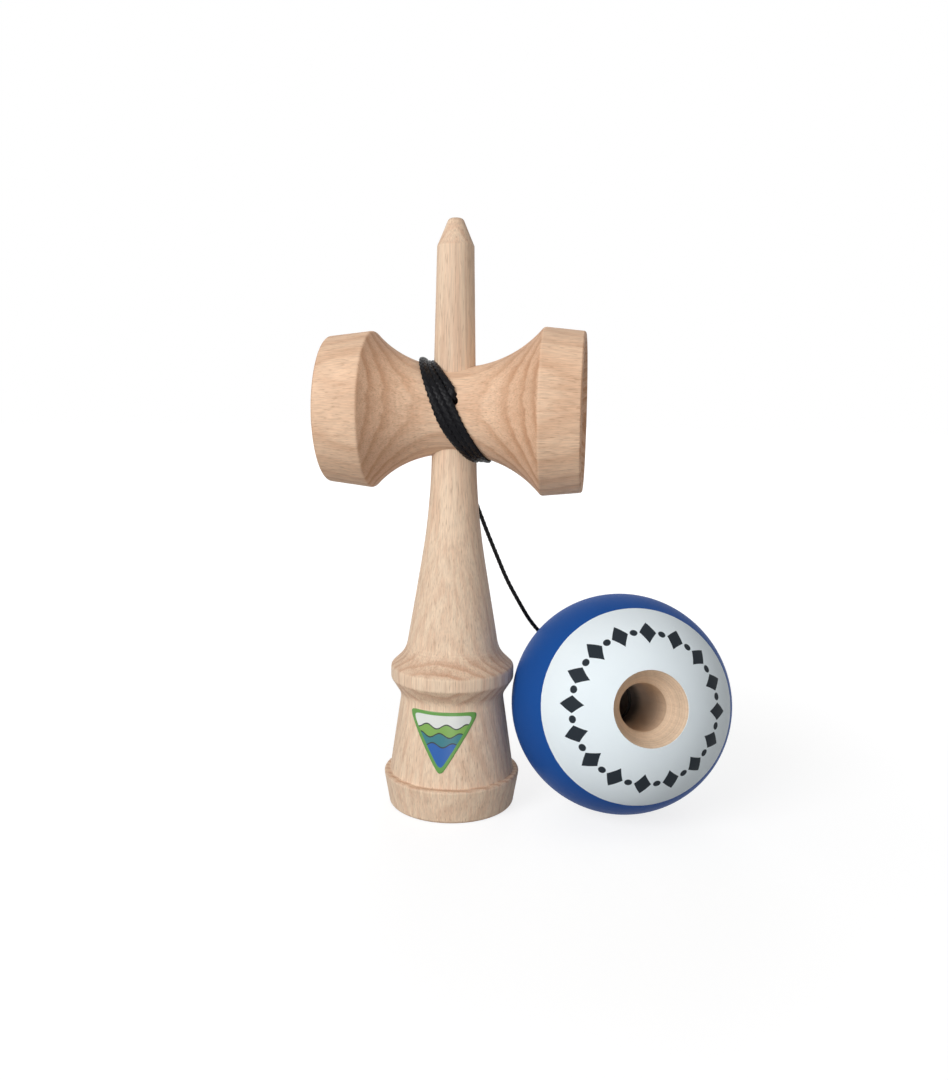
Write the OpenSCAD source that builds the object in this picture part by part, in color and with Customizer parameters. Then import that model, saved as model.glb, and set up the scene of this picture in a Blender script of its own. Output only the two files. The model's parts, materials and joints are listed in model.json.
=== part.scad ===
// Kendama: a turned ken with a sarado across it, and a painted tama on a wound string.
// The ken stands on its base cup, with its axis on +Z. The sarado's big cup faces +X,
// and the tama rests on the same surface beside the ken.

/* [Ken] */
// Height of the ken, from its foot to the tip of the spike
ken_h = 159.2; // [154:0.1:164]
// Diameter of the spike's taper at the sarado's axis
spike_mid_d = 11.6; // [11:0.1:12.2]
// Diameter of the spike's taper at its shoulder
spike_top_d = 9.8; // [9:0.1:10.6]
// Length of the pointed end above the shoulder
point_l = 7.1; // [5:0.1:9]
// Diameter of the blunt end of the point
point_d = 3.7; // [2.5:0.1:5]
// Height at which the stem's cone runs out into the spike's taper
knee_z = 82.5; // [78:0.5:86]
// Diameter of the stem where it meets the slip ring
stem_low_d = 25.8; // [23:0.1:28]
// Height at which the stem meets the slip ring
stem_low_z = 43.5; // [42:0.1:46]
// Diameter of the slip ring
ring_d = 34; // [32:0.1:36]
// Height of the slip ring's upper edge
ring_top_z = 39.6; // [38.5:0.1:41]
// Height of the slip ring's lower edge
ring_low_z = 36.2; // [35:0.1:37.5]
// Diameter of the neck under the slip ring
neck_d = 28.2; // [26:0.1:30]
// Height of the neck
neck_z = 31.6; // [29:0.1:33]
// Diameter of the body where it meets the base ring
body_d = 34.6; // [33:0.1:35.5]
// Diameter of the base ring at its upper edge
base_d = 38; // [36.5:0.1:40]
// Height of the base ring
base_h = 9.6; // [8:0.1:12]
// Diameter of the foot that the ken stands on
foot_d = 34.7; // [33:0.1:36]
// Diameter of the base cup's mouth
base_cup_d = 29.6; // [27:0.1:31]
// Depth of the base cup
base_cup_depth = 7; // [5:0.1:9]

/* [Sarado] */
// Height of the sarado's axis
sarado_z = 109.3; // [107:0.1:112]
// Diameter of the waist
waist_d = 23.2; // [22:0.1:26]
// Length of the waist's straight middle
waist_l = 2; // [1:0.1:5]
// Reach of the big cup's ridge from the middle
big_ridge_x = 23.9; // [22:0.1:26]
// Diameter of the big cup's ridge
big_ridge_d = 44.4; // [42:0.1:47]
// Reach of the big cup's rim from the middle
big_rim_x = 34.7; // [32:0.1:38]
// Outer diameter of the big cup's rim
big_rim_d = 42.2; // [41:0.1:44]
// Diameter of the big cup's mouth
big_cup_d = 38.8; // [36:0.1:40]
// Depth of the big cup
big_cup_depth = 9.5; // [7:0.1:11]
// Reach of the small cup's ridge from the middle
small_ridge_x = 22; // [20:0.1:24]
// Diameter of the small cup's ridge
small_ridge_d = 42; // [40:0.1:44]
// Reach of the small cup's rim from the middle
small_rim_x = 34; // [32:0.1:37]
// Outer diameter of the small cup's rim
small_rim_d = 39.1; // [37.5:0.1:41]
// Diameter of the small cup's mouth
small_cup_d = 35.6; // [33:0.1:37]
// Depth of the small cup
small_cup_depth = 8.5; // [6:0.1:10]

/* [Tama] */
// Diameter of the ball
tama_d = 60; // [56:0.5:64]
// Where the tama stands round the ken, from the big cup's side towards the back
tama_turn = 3.4; // [0:0.1:8]
// How far the spike hole is turned from the front towards the big cup's side
bore_turn = 15.6; // [5:0.1:25]
// How far the spike hole is tipped up
bore_tip = 14.3; // [5:0.1:25]
// Diameter of the spike hole
bore_d = 12.5; // [12:0.1:14]
// Depth of the spike hole past the ball's centre
bore_end = 10.8; // [10:0.1:12]
// Diameter of the bevel's mouth
mouth_d = 19.4; // [17:0.1:22]
// Depth of the bevel
bevel_depth = 7; // [4:0.1:9]
// Diameter of the bead's seat, beyond the spike hole
seat_d = 11.2; // [10.5:0.1:12]
// Depth of the bead's seat
seat_depth = 12.7; // [12.5:0.1:14]
// Diameter of the bead
bead_d = 9; // [8:0.1:9.2]

/* [String] */
// Diameter of the string
string_d = 1.25; // [1:0.05:1.4]
// Diameter of the drilled string holes
string_hole_d = 2.5; // [2.2:0.1:3]
// Diameter of each knot
knot_d = 3; // [2.9:0.1:3.4]
// Depth of the knot's seat in the back of the ken
knot_seat_depth = 3.4; // [3.3:0.1:4]
// Whole turns of string round the waist
turns = 3; // [2:1:3]
// Step from one turn to the next along the sarado
turn_step = 2; // [1.95:0.01:2.1]
// Angle above the sarado's front at which the string comes out
hole_angle = 13; // [10:1:20]

/* [Hidden] */

// Clearances
bore_clearance = 0.05;
lay_clearance = 0.2;
side_clearance = 0.5;
tama_clearance = 0.3;
bead_clearance = 0.3;
bead_hole_clearance = 0.3;
knot_clearance = 0.1;
knot_seat_clearance = 0.6;
string_break = 0.3;
string_lead = 3;
overrun = 2;

// Edge and fillet radii
foot_round = 1;
base_round = 1.2;
crease_round = 0.3;
neck_round = 4;
ring_round = 1.4;
flare_round = 9;
knee_round = 190;
shoulder_round = 0.6;
tip_round = 1.3;
rim_round = 0.7;
ridge_round = 1.1;
string_bend_round = 1.9;

// Curve fineness
round_fn = 96;
small_fn = 48;
arc_steps = 6;
dish_steps = 12;
waist_steps = 14;
wound_sides = 6;
turn_angle = 15;
free_sides = 8;
route_steps = 2;
bore_points = 5;
gap_steps = 5;

// The most of an edge that one rounded corner may take
corner_share = 0.48;
// How nearly the winding's side-to-side run is a straight ramp
ramp_share = 0.95;
// Where a knot is flattened against its seat, as a share of its radius
knot_flat_share = 0.85;
// How many points along the string count as neighbours when the winding's gap is measured
gap_skip = 40;

// The free string's own route, from the sarado's back to just behind the tama
free_route = [
    [-3.5, 13, 107.5],
    [-2.3, 13, 102.5],
    [-0.8, 13, 97],
    [1, 13, 91.5],
    [3.2, 13, 86],
    [5.4, 13, 80.5],
    [7.6, 13, 75],
    [10.4, 13.5, 68.2],
    [13.5, 14, 61],
    [17.2, 15, 54],
    [20, 16.5, 49],
    [23, 19.8, 44.5],
    [26.3, 24.5, 40.5],
    [29.4, 29.2, 37],
    [32, 33, 33.4],
    [33.8, 35.6, 30],
    [34.8, 36.9, 27],
    [35.5, 37.2, 24.6],
    [36.2, 36.7, 23],
    [37.1, 35.5, 22.1]
];

function unit(v) = v / norm(v);
function last(list) = list[len(list) - 1];

// An arc that rounds the corner b between a and c, in the plane or in space
function bend(a, b, c, radius) =
    let (
        u = unit(a - b),
        v = unit(c - b),
        half = acos(u * v) / 2,
        cut = min(radius / tan(half), corner_share * min(norm(a - b), norm(c - b))),
        r = cut * tan(half),
        inward = unit(u + v),
        along = unit(v - u),
        centre = b + inward * r / sin(half)
    )
    [for (i = [0:arc_steps])
        let (angle = (i / arc_steps - 1 / 2) * (180 - 2 * half))
        centre + r * (along * sin(angle) - inward * cos(angle))];

// An outline of [radius, height, rounding] corners, whose ends stay sharp
function corner_place(c) = [c[0], c[1]];
function rounded(corners) =
    let (places = [for (c = corners) corner_place(c)])
    [
        places[0],
        for (i = [1:len(corners) - 2])
            each bend(places[i - 1], places[i], places[i + 1], corners[i][2]),
        last(places)
    ];

// A dished hollow's [radius, depth] points, from its middle to its mouth
function dish(mouth_d, depth) =
    let (r = (mouth_d * mouth_d / 4 + depth * depth) / (2 * depth))
    [for (i = [0:dish_steps])
        let (x = mouth_d / 2 * i / dish_steps)
        [x, depth - r + sqrt(r * r - x * x)]];

// The ken's taper through the sarado and up the spike
shoulder_z = ken_h - point_l;
taper_slope = (spike_top_d - spike_mid_d) / 2 / (shoulder_z - sarado_z);
function taper_r(z) = spike_mid_d / 2 + taper_slope * (z - sarado_z);

// The sarado's waist: a straight middle between two hollow arcs that end at the ridges
function ridge_x(x) = x < 0 ? small_ridge_x : big_ridge_x;
function ridge_r(x) = (x < 0 ? small_ridge_d : big_ridge_d) / 2;
function waist_arc(x) =
    let (run = ridge_x(x) - waist_l / 2, rise = ridge_r(x) - waist_d / 2)
    (run * run + rise * rise) / (2 * rise);
function waist_r(x) =
    let (r = waist_arc(x), run = min(max(abs(x) - waist_l / 2, 0), ridge_x(x) - waist_l / 2))
    waist_d / 2 + r - sqrt(r * r - run * run);

// The tama's place and its spike hole's axis
tama_r = tama_d / 2;
tama_reach = ring_d / 2 + sqrt(tama_r * tama_r - pow(tama_r - ring_low_z, 2)) + tama_clearance;
tama_centre = [tama_reach * cos(tama_turn), tama_reach * sin(tama_turn), tama_r];
bore_dir = [cos(bore_tip) * sin(bore_turn), -cos(bore_tip) * cos(bore_turn), sin(bore_tip)];
function on_bore(s) = tama_centre + s * bore_dir;
mouth_s = sqrt(tama_r * tama_r - mouth_d * mouth_d / 4);
seat_floor = -bore_end - seat_depth;
bead_s = seat_floor + bead_clearance + bead_d / 2;
bead_hole_d = string_d + 2 * bead_hole_clearance;
bead_knot_s = bead_s + sqrt(bead_d * bead_d - bead_hole_d * bead_hole_d) / 2 + knot_clearance;

// The winding: each turn leans across the waist, left of the spike above and right of the stem below
knot_flat = knot_d / 2 * knot_flat_share;
lay_r = string_d / 2 + lay_clearance;
side_r = string_d / 2 + side_clearance;
top_x = -taper_r(sarado_z + waist_d / 2) - side_r;
bottom_x = taper_r(sarado_z - waist_d / 2) + side_r;
sway = (bottom_x - top_x + (turns - 1 / 2) * turn_step) / 2;
mid_x = top_x + turn_step / 4 + sway;
function ramp(t) = asin(ramp_share * sin(t)) / asin(ramp_share);
function turn_x(t) = mid_x - turn_step * t / 360 - sway * ramp(t);
function wind(t) =
    let (x = turn_x(t), r = waist_r(x) + lay_r)
    [x, -r * cos(t), sarado_z + r * sin(t)];
wind_end = 180 + 360 * turns - turn_angle;

// The string hole through the sarado and the ken, on a line through the ken's axis
hole_out = wind(hole_angle);
hole_dir = unit([hole_out[0], hole_out[1], 0]);
hole_z = hole_out[2];
function on_hole(u) = u * hole_dir + [0, 0, hole_z];
knot_seat_u = knot_seat_depth - taper_r(hole_z);
anchor_u = knot_seat_u - knot_clearance;
hole_mouth_u = norm([hole_out[0], hole_out[1]]);
free_dir = unit(free_route[1] - free_route[0]);

wound_path = [
    on_hole(anchor_u),
    on_hole(anchor_u + string_d),
    for (u = [anchor_u + 3 * string_d:2 * string_d:hole_mouth_u - 3 * string_d]) on_hole(u),
    each bend(on_hole(0), hole_out, wind(hole_angle + turn_angle), string_bend_round),
    for (t = [hole_angle + turn_angle:turn_angle:wind_end]) wind(t),
    free_route[0] - free_dir * (string_break + string_d),
    free_route[0] - free_dir * string_break
];

// A smooth curve through the points of a route
function curve_point(a, b, c, d, t) =
    (2 * b + (c - a) * t + (2 * a - 5 * b + 4 * c - d) * t * t + (3 * b - a - 3 * c + d) * t * t * t) / 2;
function smooth(route, steps) =
    let (end = len(route) - 1)
    [
        for (i = [0:end - 1])
            let (before = route[max(i - 1, 0)], after = route[min(i + 2, end)])
            for (k = [0:steps - 1])
                curve_point(before, route[i], route[i + 1], after, k / steps),
        route[end]
    ];

hole_entry_s = -tama_r - string_lead;
hole_run = bead_knot_s - string_d - hole_entry_s;
free_path = smooth(concat(
    free_route,
    [on_bore(hole_entry_s)],
    [for (i = [1:bore_points]) on_bore(hole_entry_s + hole_run * i / bore_points)],
    [on_bore(bead_knot_s)]
), route_steps);

function tangents(p) = [for (i = [0:len(p) - 1]) unit(p[min(i + 1, len(p) - 1)] - p[max(i - 1, 0)])];
function square_to(n, t) = unit(n - (n * t) * t);
function normals(t, first) =
    let (end = len(t) - 1)
    [for (i = 0, n = square_to(first, t[0]); i <= end; i = i + 1, n = square_to(n, t[min(i, end)])) n];
function path_length(p) = [for (i = [1:len(p) - 1]) norm(p[i] - p[i - 1])] * [for (i = [1:len(p) - 1]) 1];

// The least clear distance between parts of a tube that aren't neighbours, measured on points
function least_gap(path, d) =
    let (fine = [
        for (i = [0:len(path) - 2])
            for (k = [0:gap_steps - 1]) path[i] + (path[i + 1] - path[i]) * k / gap_steps
    ])
    min([
        for (i = [0:len(fine) - 1 - gap_skip])
            for (j = [i + gap_skip:len(fine) - 1]) norm(fine[i] - fine[j])
    ]) - d;

echo(winding_gap_mm = least_gap(wound_path, string_d));
echo(wound_length_mm = path_length(wound_path), free_length_mm = path_length(free_path));

module tube(path, d, sides) {
    t = tangents(path);
    n = normals(t, [1, 1, 1]);
    rings = len(path);
    points = [
        for (i = [0:rings - 1])
            for (k = [0:sides - 1])
                let (angle = 360 * k / sides)
                path[i] + d / 2 * (cos(angle) * n[i] + sin(angle) * cross(t[i], n[i]))
    ];
    faces = [
        for (i = [0:rings - 2])
            for (k = [0:sides - 1])
                let (a = i * sides + k, b = i * sides + (k + 1) % sides)
                each [[a, a + sides, b + sides], [a, b + sides, b]],
        for (k = [1:sides - 2]) [0, k, k + 1],
        for (k = [1:sides - 2]) let (base = (rings - 1) * sides) [base, base + k + 1, base + k]
    ];
    polyhedron(points, faces);
}

// Turns +Z to the spike hole's axis, at a place along it
module along_bore(s) {
    translate(on_bore(s)) rotate([0, 90 - bore_tip, bore_turn - 90]) children();
}

// Turns +Z to the string hole's way out, at a place along it
module along_hole(u) {
    translate(on_hole(u)) rotate([0, 90, atan2(hole_dir[1], hole_dir[0])]) children();
}

// A round knot, flattened on its +Z side where the string comes in
module knot() {
    intersection() {
        sphere(d = knot_d, $fn = small_fn);
        translate([0, 0, -knot_d / 2]) cylinder(d = 2 * knot_d, h = knot_d / 2 + knot_flat, $fn = small_fn);
    }
}

module ken() {
    outline = concat(
        dish(base_cup_d, base_cup_depth),
        rounded([
            [base_cup_d / 2, 0],
            [foot_d / 2, 0, foot_round],
            [base_d / 2, base_h, base_round],
            [body_d / 2, base_h, crease_round],
            [neck_d / 2, neck_z, neck_round],
            [ring_d / 2, ring_low_z, ring_round],
            [ring_d / 2, ring_top_z, ring_round],
            [stem_low_d / 2, stem_low_z, flare_round],
            [taper_r(knee_z), knee_z, knee_round],
            [spike_top_d / 2, shoulder_z, shoulder_round],
            [point_d / 2, ken_h, tip_round],
            [0, ken_h]
        ])
    );
    color("burlywood") difference() {
        rotate_extrude($fn = round_fn) polygon(outline);
        along_hole(knot_seat_u - overrun)
            cylinder(d = string_hole_d, h = knot_seat_depth + waist_d, $fn = small_fn);
        along_hole(knot_seat_u - knot_seat_depth - overrun)
            cylinder(d = knot_d + 2 * knot_seat_clearance, h = knot_seat_depth + overrun, $fn = small_fn);
    }
}

module sarado() {
    small_cup = [for (p = dish(small_cup_d, small_cup_depth)) [p[0], p[1] - small_rim_x]];
    big_cup = [for (p = dish(big_cup_d, big_cup_depth)) [p[0], big_rim_x - p[1]]];
    waist = [
        for (i = [1:waist_steps - 1])
            let (x = -small_ridge_x + (small_ridge_x - waist_l / 2) * i / waist_steps)
            [waist_r(x), x, 0],
        [waist_d / 2, -waist_l / 2, 0],
        [waist_d / 2, waist_l / 2, 0],
        for (i = [1:waist_steps - 1])
            let (x = waist_l / 2 + (big_ridge_x - waist_l / 2) * i / waist_steps)
            [waist_r(x), x, 0]
    ];
    outline = concat(
        small_cup,
        rounded([
            last(small_cup),
            [small_rim_d / 2, -small_rim_x, rim_round],
            [small_ridge_d / 2, -small_ridge_x, ridge_round],
            waist[0]
        ]),
        [for (i = [1:len(waist) - 2]) corner_place(waist[i])],
        rounded([
            last(waist),
            [big_ridge_d / 2, big_ridge_x, ridge_round],
            [big_rim_d / 2, big_rim_x, rim_round],
            last(big_cup)
        ]),
        [for (i = [len(big_cup) - 2:-1:0]) big_cup[i]]
    );
    low_z = sarado_z - waist_d;
    high_z = sarado_z + waist_d;
    color("tan") difference() {
        translate([0, 0, sarado_z]) rotate([0, 90, 0]) rotate_extrude($fn = round_fn) polygon(outline);
        translate([0, 0, low_z]) cylinder(
            r1 = taper_r(low_z) + bore_clearance,
            r2 = taper_r(high_z) + bore_clearance,
            h = high_z - low_z,
            $fn = round_fn
        );
        along_hole(0) cylinder(d = string_hole_d, h = waist_d, $fn = small_fn);
    }
}

module tama() {
    slope = (mouth_d - bore_d) / 2 / bevel_depth;
    hollow = [
        [0, -tama_r - overrun],
        [string_hole_d / 2, -tama_r - overrun],
        [string_hole_d / 2, seat_floor],
        [seat_d / 2, seat_floor],
        [seat_d / 2, -bore_end],
        [bore_d / 2, -bore_end],
        [bore_d / 2, mouth_s - bevel_depth],
        [bore_d / 2 + slope * (tama_r + overrun - mouth_s + bevel_depth), tama_r + overrun],
        [0, tama_r + overrun]
    ];
    color("royalblue") difference() {
        translate(tama_centre) sphere(d = tama_d, $fn = round_fn);
        along_bore(0) rotate_extrude($fn = round_fn) polygon(hollow);
    }
}

module wound_string() {
    color("black") tube(wound_path, string_d, wound_sides);
}

module free_string() {
    color("black") tube(free_path, string_d, free_sides);
}

module anchor_knot() {
    color("black") along_hole(anchor_u - knot_flat) knot();
}

module bead() {
    color("peru") along_bore(bead_s) difference() {
        sphere(d = bead_d, $fn = small_fn);
        cylinder(d = bead_hole_d, h = bead_d + 2 * overrun, center = true, $fn = small_fn);
    }
}

module bead_knot() {
    color("black") along_bore(bead_knot_s + knot_flat) rotate([180, 0, 0]) knot();
}

ken();
sarado();
tama();
wound_string();
free_string();
anchor_knot();
bead();
bead_knot();
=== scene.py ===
"""Looks of a turned beech kendama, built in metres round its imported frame.

The ken, the sarado, the tama and the bead keep their CAD meshes and get procedural finishes. The string is
laid anew as one braided cord, wound tight round the sarado's waist, and a paper sticker with three soft
corners sits on the ken's body.
"""

import json
import logging
import math
from dataclasses import dataclass
from enum import Enum
from typing import Any, NamedTuple

import bpy
import numpy as np
from mathutils import Euler, Matrix, Vector


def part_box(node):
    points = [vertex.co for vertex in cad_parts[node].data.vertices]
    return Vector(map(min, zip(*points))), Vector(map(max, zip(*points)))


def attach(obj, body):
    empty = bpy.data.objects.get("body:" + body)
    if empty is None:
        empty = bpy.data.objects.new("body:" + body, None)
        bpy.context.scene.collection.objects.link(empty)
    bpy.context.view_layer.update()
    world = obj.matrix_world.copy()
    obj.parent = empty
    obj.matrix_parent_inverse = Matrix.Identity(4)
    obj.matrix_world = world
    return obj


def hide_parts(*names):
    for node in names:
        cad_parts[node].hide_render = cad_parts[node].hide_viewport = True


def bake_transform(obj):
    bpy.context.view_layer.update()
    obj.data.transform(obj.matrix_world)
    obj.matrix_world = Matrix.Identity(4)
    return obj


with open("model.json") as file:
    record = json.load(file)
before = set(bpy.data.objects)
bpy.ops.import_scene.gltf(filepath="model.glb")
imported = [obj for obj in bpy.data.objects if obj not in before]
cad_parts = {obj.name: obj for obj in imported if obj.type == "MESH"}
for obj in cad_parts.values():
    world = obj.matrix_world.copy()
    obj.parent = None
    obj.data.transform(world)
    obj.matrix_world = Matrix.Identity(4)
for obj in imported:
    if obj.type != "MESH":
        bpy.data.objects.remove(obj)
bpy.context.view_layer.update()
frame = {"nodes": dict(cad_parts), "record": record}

LOG = logging.getLogger("kendama")
MM = 0.001
PER_MM = 1000.0

Array = np.ndarray
Colour = tuple[float, float, float]
Point = tuple[float, float, float]
Span = tuple[float, float]
Socket = bpy.types.NodeSocket

WHITE: Colour = (1.0, 1.0, 1.0)
UP: Point = (0.0, 0.0, 1.0)
NOISE_MEAN: Point = (0.5, 0.5, 0.5)


class Body(Enum):
    """The CAD bodies that new pieces ride on."""

    KEN = "ken"
    LINE = "line"


class Slot(Enum):
    """The record's material slots that new pieces take their finish from."""

    STRING = "string"


class Node(Enum):
    """The CAD nodes that are dressed or replaced."""

    KEN = "ken"
    SARADO = "sarado"
    TAMA = "tama"
    BEAD = "bead"
    WOUND_STRING = "wound_string"
    FREE_STRING = "free_string"
    ANCHOR_KNOT = "anchor_knot"
    BEAD_KNOT = "bead_knot"

    def piece(self) -> bpy.types.Object:
        """Gives the node's object."""
        return frame["nodes"][self.value]

    def dress(self, material: bpy.types.Material) -> bpy.types.Object:
        """Puts a material on the node in place of its own.

        Args:
            material: the finish.

        Returns:
            The node's object.
        """
        piece = self.piece()
        piece.data.materials.clear()
        piece.data.materials.append(material)
        return piece


class Coordinates(Enum):
    """The texture coordinates that the finishes read."""

    OBJECT = "Object"
    NORMAL = "Normal"
    SURFACE = "UV"


class NoiseShape(NamedTuple):
    """A noise pattern: its features per unit, its octaves, and its coordinates' scale on each axis.

    A scale below 1 stretches the pattern along that axis.
    """

    scale: float
    detail: float = 2.0
    stretch: Point = (1.0, 1.0, 1.0)


class Graph:
    """The node tree of a material or of the world, with short calls for the nodes that are used here."""

    NUMBER_RESULTS = ("LENGTH", "DOT_PRODUCT")

    def __init__(self, owner: bpy.types.Material | bpy.types.World) -> None:
        """Starts an empty tree.

        Args:
            owner: the material or the world that the tree belongs to.
        """
        owner.use_nodes = True
        self.owner = owner
        self.nodes = owner.node_tree.nodes
        self.links = owner.node_tree.links
        self.nodes.clear()

    def put(self, socket: Socket, value: Any) -> None:
        """Links an output to an input socket, or sets the input's constant.

        Args:
            socket: the input.
            value: an output socket, a number, a vector or a colour.
        """
        if isinstance(value, bpy.types.NodeSocket):
            self.links.new(value, socket)
        elif socket.type == "RGBA":
            socket.default_value = (*value, 1.0)
        else:
            socket.default_value = value

    def add(self, kind: str, inputs: dict[str | int, Any], **settings: Any) -> bpy.types.Node:
        """Adds a node.

        Args:
            kind: the node's type name.
            inputs: values or links by input name or index.
            settings: the node's own properties.

        Returns:
            The new node.
        """
        node = self.nodes.new(kind)
        for key, value in settings.items():
            setattr(node, key, value)
        for key, value in inputs.items():
            self.put(node.inputs[key], value)
        return node

    def coordinates(self, kind: Coordinates) -> Socket:
        """Gives texture coordinates."""
        return self.add("ShaderNodeTexCoord", {}).outputs[kind.value]

    def math(self, operation: str, *values: Any) -> Socket:
        """Gives the output of a Math node."""
        return self.add("ShaderNodeMath", dict(enumerate(values)), operation=operation).outputs[0]

    def vector(self, operation: str, *values: Any) -> Socket:
        """Gives the vector output of a Vector Math node, or its value where the operation gives one."""
        node = self.add("ShaderNodeVectorMath", dict(enumerate(values)), operation=operation)
        return node.outputs["Value" if operation in self.NUMBER_RESULTS else "Vector"]

    def parts(self, place: Socket) -> Any:
        """Gives a vector's three parts, by the names X, Y and Z."""
        return self.add("ShaderNodeSeparateXYZ", {0: place}).outputs

    def joined(self, x: Socket, y: Socket) -> Socket:
        """Gives a flat vector from two numbers."""
        return self.add("ShaderNodeCombineXYZ", {"X": x, "Y": y}).outputs[0]

    def scaled(self, place: Socket, factor: float) -> Socket:
        """Gives a vector times a number."""
        node = self.add("ShaderNodeVectorMath", {0: place, "Scale": factor}, operation="SCALE")
        return node.outputs["Vector"]

    def step(self, value: Socket, low: float, high: float) -> Socket:
        """Gives a smooth step of a value, from 0 at low to 1 at high."""
        inputs = {"Value": value, "From Min": low, "From Max": high}
        return self.add("ShaderNodeMapRange", inputs, interpolation_type="SMOOTHSTEP").outputs["Result"]

    def fall(self, value: Socket, low: float, high: float) -> Socket:
        """Gives a smooth step of a value, from 1 at low to 0 at high."""
        return self.math("SUBTRACT", 1.0, self.step(value, low, high))

    def spread(self, value: Any, low: float, high: float) -> Socket:
        """Gives a 0 to 1 value spread from low to high."""
        inputs = {"Value": value, "To Min": low, "To Max": high}
        return self.add("ShaderNodeMapRange", inputs).outputs["Result"]

    def mix(self, share: Any, first: Any, second: Any) -> Socket:
        """Gives a colour between two, second where the share is 1."""
        # The Mix node's colour sockets go by number, because their names repeat.
        return self.add("ShaderNodeMix", {0: share, 6: first, 7: second}, data_type="RGBA").outputs[2]

    def tint(self, colour: Any, value: Socket) -> Socket:
        """Gives a colour made lighter or darker by a value near 1."""
        return self.add("ShaderNodeHueSaturation", {"Color": colour, "Value": value}).outputs["Color"]

    def noise(self, place: Socket, shape: NoiseShape, output: str = "Fac") -> Socket:
        """Gives a noise texture.

        Args:
            place: the coordinates.
            shape: the pattern's scale, octaves and stretch.
            output: the name of the texture's output.

        Returns:
            The output.
        """
        where = self.vector("MULTIPLY", place, shape.stretch)
        inputs = {"Vector": where, "Scale": shape.scale, "Detail": shape.detail}
        return self.add("ShaderNodeTexNoise", inputs).outputs[output]

    def local(self, turn: Euler, origin: Vector) -> Socket:
        """Gives object coordinates in millimetres, turned about an origin.

        Args:
            turn: the turn that brings the piece's own axis to Z.
            origin: the place that becomes zero, in metres.

        Returns:
            The coordinates.
        """
        inputs = {
            "Vector": self.coordinates(Coordinates.OBJECT),
            "Scale": (PER_MM,) * 3,
            "Rotation": turn,
            "Location": -(turn.to_matrix() @ origin) * PER_MM,
        }
        return self.add("ShaderNodeMapping", inputs, vector_type="POINT").outputs["Vector"]

    def bump(self, height: Socket, depth: float) -> Socket:
        """Gives a bumped normal, with a depth in millimetres for a height of 1."""
        inputs = {"Height": height, "Distance": depth * MM, "Strength": 1.0}
        return self.add("ShaderNodeBump", inputs).outputs["Normal"]

    def finish(self, **inputs: Any) -> bpy.types.Material:
        """Closes a material's tree with a Principled shader.

        Args:
            inputs: the shader's inputs, with underscores for spaces.

        Returns:
            The material.
        """
        named = {key.replace("_", " "): value for key, value in inputs.items()}
        shader = self.add("ShaderNodeBsdfPrincipled", named)
        self.add("ShaderNodeOutputMaterial", {"Surface": shader.outputs[0]})
        return self.owner


class Grain(NamedTuple):
    """The outputs of a wood pattern: its colour, its surface height and its roughness."""

    colour: Socket
    height: Socket
    roughness: Socket


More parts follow.
